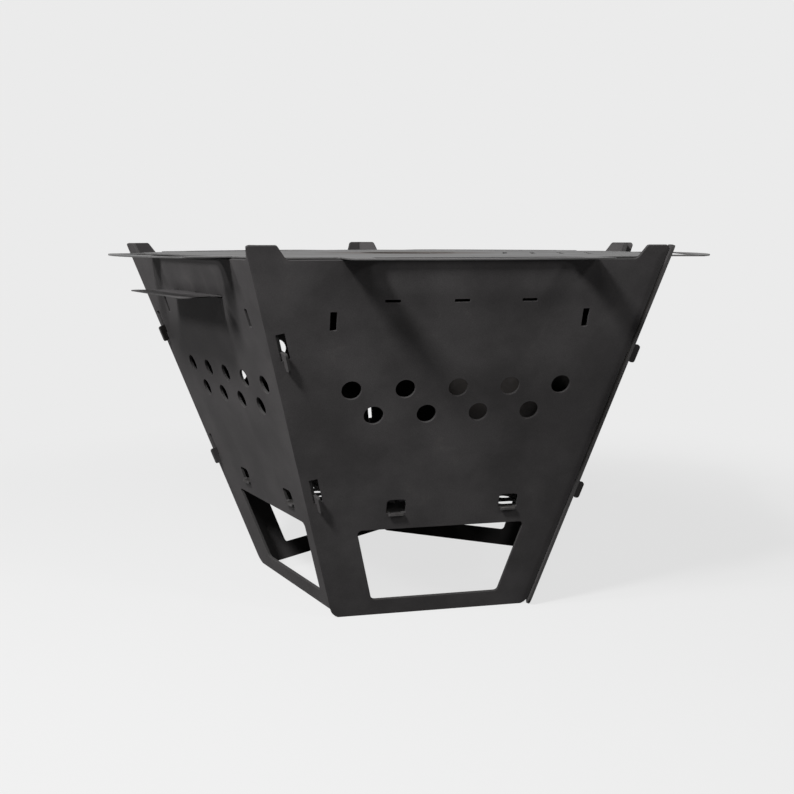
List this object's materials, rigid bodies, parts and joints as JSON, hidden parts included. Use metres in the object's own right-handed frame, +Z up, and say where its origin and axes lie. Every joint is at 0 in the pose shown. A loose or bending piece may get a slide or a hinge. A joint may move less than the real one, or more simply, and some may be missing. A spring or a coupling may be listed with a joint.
{
  "type": "fire pit",
  "caption": "Pentagonal fire pit of hooked-together leaning sheet panels, with a perforated floor plate, a lift-off winged grill plate and a plug-in side shelf.",
  "frame": {"origin": "middle of the overall box on the ground; the pit axis stands at x 0, y -0.0019", "axes": "+Z up along the pit axis, -Y out of the front panel, +X to the right seen from the front"},
  "size_m": [0.692, 0.6956, 0.4036],
  "materials": {
    "front_panel": "satin black heat-resistant coating on 3 mm steel sheet",
    "right_panel": "satin black heat-resistant coating on 3 mm steel sheet",
    "back_right_panel": "satin black heat-resistant coating on 3 mm steel sheet",
    "back_left_panel": "satin black heat-resistant coating on 3 mm steel sheet",
    "left_panel": "satin black heat-resistant coating on 3 mm steel sheet",
    "floor_plate": "dull black coating on 2.5 mm steel sheet",
    "grill_plate": "satin black coating on 1.5 mm steel sheet",
    "side_shelf": "satin black coating on 1.2 mm steel sheet"
  },
  "bodies": {
    "pit": {"front_panel": "front_panel", "right_panel": "right_panel", "back_right_panel": "back_right_panel", "back_left_panel": "back_left_panel", "left_panel": "left_panel", "floor_plate": "floor_plate"},
    "grill": {"grill_plate": "grill_plate"},
    "shelf": {"side_shelf": "side_shelf"}
  },
  "joints": [
    {"name": "grill_lift", "type": "slide", "parent": "pit", "child": "grill", "axis": [0, 0, 1], "range_m": [0, 0.06]},
    {"name": "shelf_pull", "type": "slide", "parent": "pit", "child": "shelf", "axis": [-0.9511, -0.309, 0], "range_m": [0, 0.05]}
  ]
}
